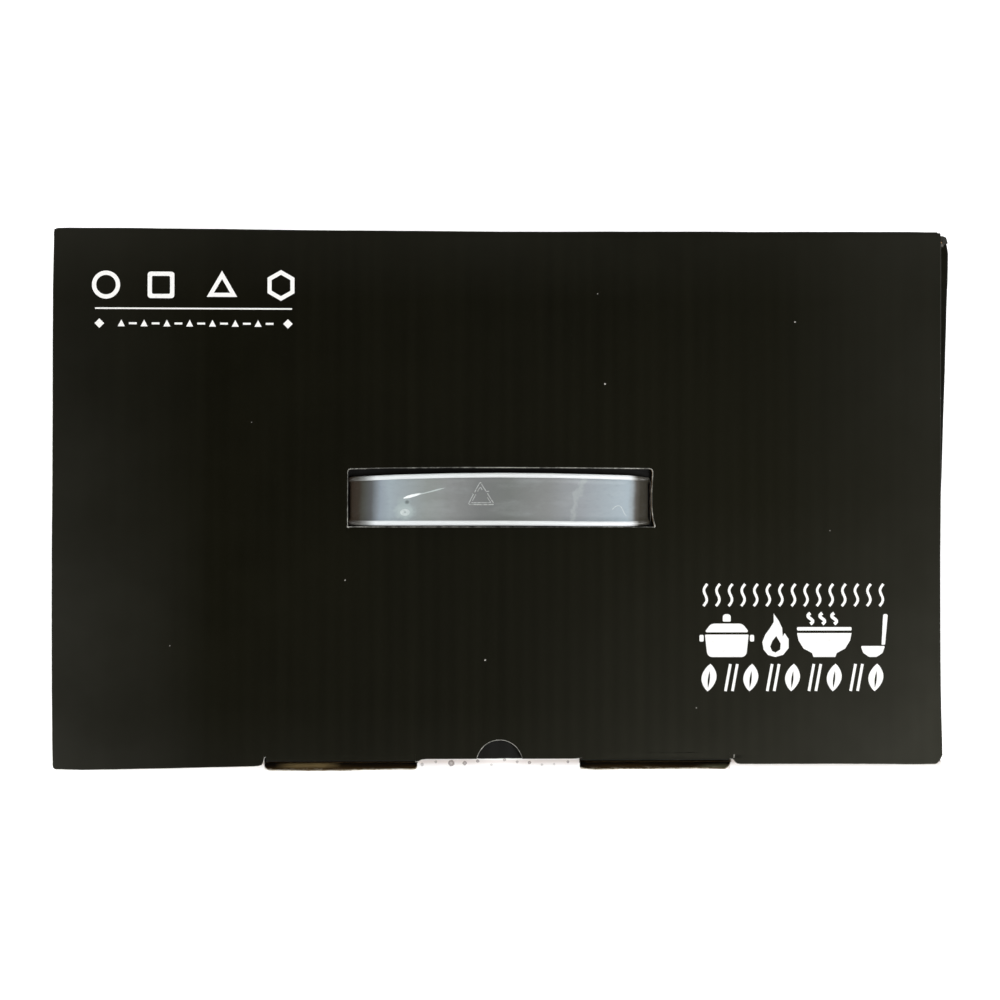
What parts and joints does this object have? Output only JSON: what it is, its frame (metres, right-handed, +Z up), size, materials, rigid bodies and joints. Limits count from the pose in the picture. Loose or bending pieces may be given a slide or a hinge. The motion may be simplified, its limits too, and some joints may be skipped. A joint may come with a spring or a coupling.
{
  "type": "boxed electric hot pot",
  "caption": "Corrugated carry-handle carton with hinged lid, tuck tabs and inner flaps, holding an electric hot pot with glass lid, grip control and heater in moulded pulp trays.",
  "frame": {"origin": "centre of the carton's footprint, on its bottom face", "axes": "+Z up through the lid, +X to the right along the long front, +Y to the back, where the lid hinges"},
  "size_m": [0.3584, 0.216, 0.2004],
  "materials": {
    "printed_board": "black printed face over brown corrugated board",
    "plain_board": "plain brown corrugated board",
    "hot_melt": "amber hot-melt glue",
    "strap_plastic": "milky grey-white polyethylene",
    "pulp": "moulded grey paper pulp",
    "foot_rubber": "moulded rubber",
    "base_plastic": "fine-grained warm white plastic",
    "inlet_plastic": "black heat-resistant plastic",
    "screw_steel": "zinc plated steel",
    "contact_brass": "bright contact metal",
    "shield_steel": "galvanised sheet",
    "heater_aluminium": "cast aluminium, as cast",
    "sensor": "plated housing",
    "shell_paint": "satin sage paint",
    "bowl_steel": "spun and brushed stainless steel",
    "grip_plastic": "fine-grained warm white plastic",
    "knob_plastic": "black plastic",
    "lens": "amber-red lens",
    "lid_glass": "clear tempered glass",
    "vent_rubber": "grey silicone"
  },
  "bodies": {
    "root": {"front_panel": "printed_board", "back_panel": "printed_board", "left_panel": "printed_board", "right_panel": "printed_board", "glue_flap": "plain_board", "bottom_flap_front": "printed_board", "bottom_flap_back": "printed_board", "bottom_flap_left": "plain_board", "bottom_flap_right": "plain_board", "glue_beads": "hot_melt", "lower_tray": "pulp", "upper_tray": "pulp", "rubber_feet": "foot_rubber", "bottom_cover": "base_plastic", "bottom_screws": "screw_steel", "base_housing": "base_plastic", "power_inlet": "inlet_plastic", "inlet_pins": "contact_brass", "heat_shield": "shield_steel", "plate_spacers": "shield_steel", "heating_plate": "heater_aluminium", "heating_element": "heater_aluminium", "thermostat": "sensor", "thermal_fuse": "sensor", "outer_shell": "shell_paint", "inner_pot": "bowl_steel", "inner_pot_floor": "bowl_steel", "grip_lower": "grip_plastic", "grip_upper": "grip_plastic", "grip_screws": "screw_steel", "mounting_screws": "screw_steel", "rotary_switch": "inlet_plastic", "indicator_lens": "lens", "lid_glass": "lid_glass", "lid_rim_band": "bowl_steel", "steam_vent": "vent_rubber", "knob_collar": "bowl_steel", "lid_knob": "grip_plastic", "lid_knob_screw": "screw_steel"},
    "lid": {"lid_panel": "printed_board"},
    "tab_left": {"lock_tab_left": "printed_board"},
    "tab_right": {"lock_tab_right": "printed_board"},
    "top_flap": {"handle_flap": "plain_board"},
    "side_flap_left": {"dust_flap_left": "plain_board"},
    "side_flap_right": {"dust_flap_right": "plain_board"},
    "strap": {"carry_handle": "strap_plastic"},
    "dial": {"knob_shaft": "screw_steel", "control_knob": "knob_plastic"}
  },
  "joints": [
    {"name": "lid_open", "type": "hinge", "parent": "root", "child": "lid", "pos_m": [0, 0.108, 0.196], "axis": [-1, 0, 0], "range_deg": [0, 230]},
    {"name": "tab_left_fold", "type": "hinge", "parent": "lid", "child": "tab_left", "pos_m": [-0.06415, -0.1041, 0.196], "axis": [-1, 0, 0], "range_deg": [0, 35]},
    {"name": "tab_right_fold", "type": "hinge", "parent": "lid", "child": "tab_right", "pos_m": [0.06175, -0.1041, 0.196], "axis": [-1, 0, 0], "range_deg": [0, 35]},
    {"name": "top_flap_open", "type": "hinge", "parent": "root", "child": "top_flap", "pos_m": [0, -0.108, 0.1926], "axis": [1, 0, 0], "range_deg": [0, 104]},
    {"name": "side_flap_left_open", "type": "hinge", "parent": "root", "child": "side_flap_left", "pos_m": [-0.1792, 0, 0.1892], "axis": [0, -1, 0], "range_deg": [0, 92.5]},
    {"name": "side_flap_right_open", "type": "hinge", "parent": "root", "child": "side_flap_right", "pos_m": [0.1792, 0, 0.1892], "axis": [0, 1, 0], "range_deg": [0, 92.5]},
    {"name": "handle_lift", "type": "slide", "parent": "top_flap", "child": "strap", "axis": [0, 0, 1], "range_m": [0, 0.0118]},
    {"name": "dial_turn", "type": "hinge", "parent": "root", "child": "dial", "pos_m": [0.048, 0, 0.11], "axis": [0, 0, -1], "range_deg": [0, 270]}
  ],
  "couplings": [
    {"joint": "tab_left_fold", "follows": "lid_open", "ratio": 0.15},
    {"joint": "tab_right_fold", "follows": "lid_open", "ratio": 0.15},
    {"joint": "top_flap_open", "follows": "lid_open", "ratio": 0.45},
    {"joint": "side_flap_left_open", "follows": "lid_open", "ratio": 0.4},
    {"joint": "side_flap_right_open", "follows": "lid_open", "ratio": 0.4}
  ]
}
